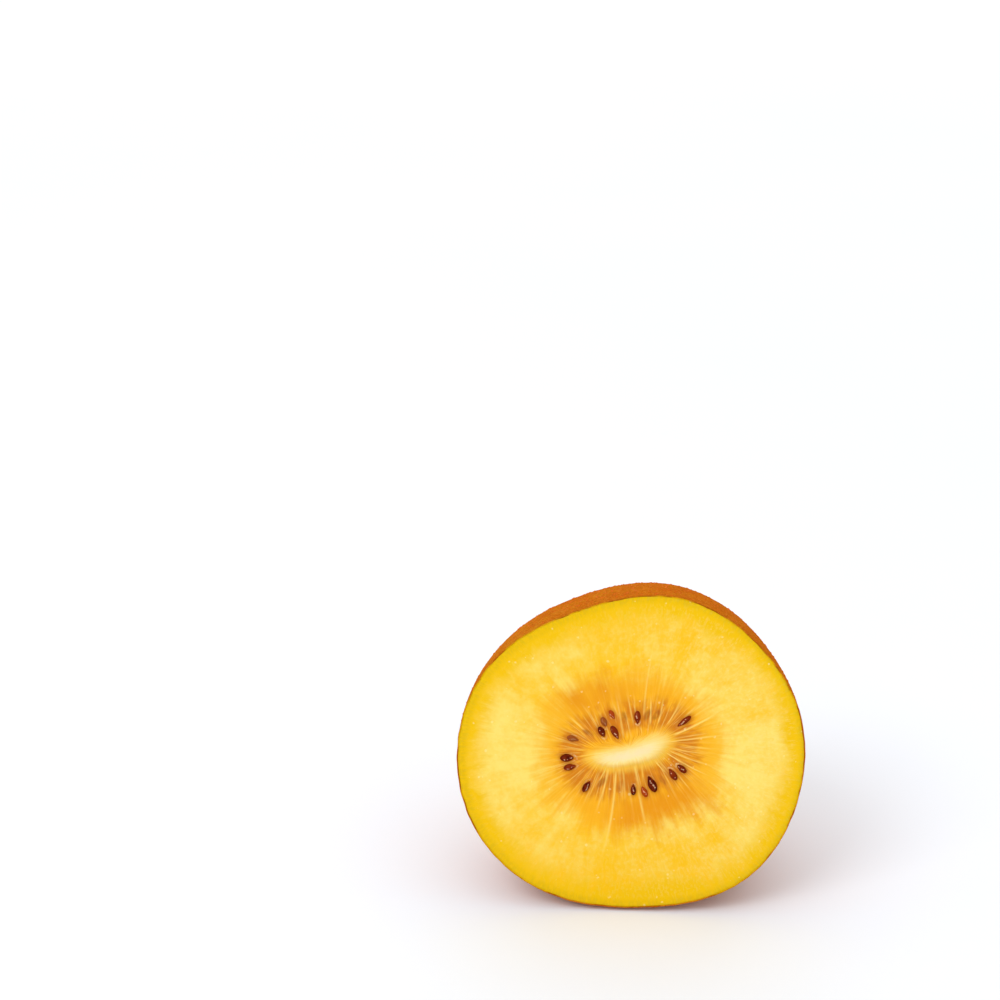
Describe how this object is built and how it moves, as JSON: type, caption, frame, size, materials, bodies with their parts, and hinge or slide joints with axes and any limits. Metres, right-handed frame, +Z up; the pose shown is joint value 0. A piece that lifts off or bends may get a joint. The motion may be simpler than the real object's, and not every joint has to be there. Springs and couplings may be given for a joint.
{
  "type": "golden kiwi fruit half",
  "caption": "Half of a golden kiwi fruit cut square across, standing on its brown skin with the yellow cut face forward: pale core, rayed flesh and a ring of dark seeds, stem scar behind.",
  "frame": {"origin": "on the ground, under the middle of the part's box", "axes": "+Z up; the cut face looks along -Y and leans back 11 degrees, +X is to the right of someone looking at it, and the stem end points to +Y"},
  "size_m": [0.0528, 0.0382, 0.0489],
  "materials": {
    "flesh": "moist, satin",
    "skin": "dry, waxy matt with fine raised spots",
    "seed": "wet gloss",
    "stem_scar": "dry, corky"
  },
  "bodies": {
    "root": {"half_fruit": "flesh"}
  },
  "joints": []
}
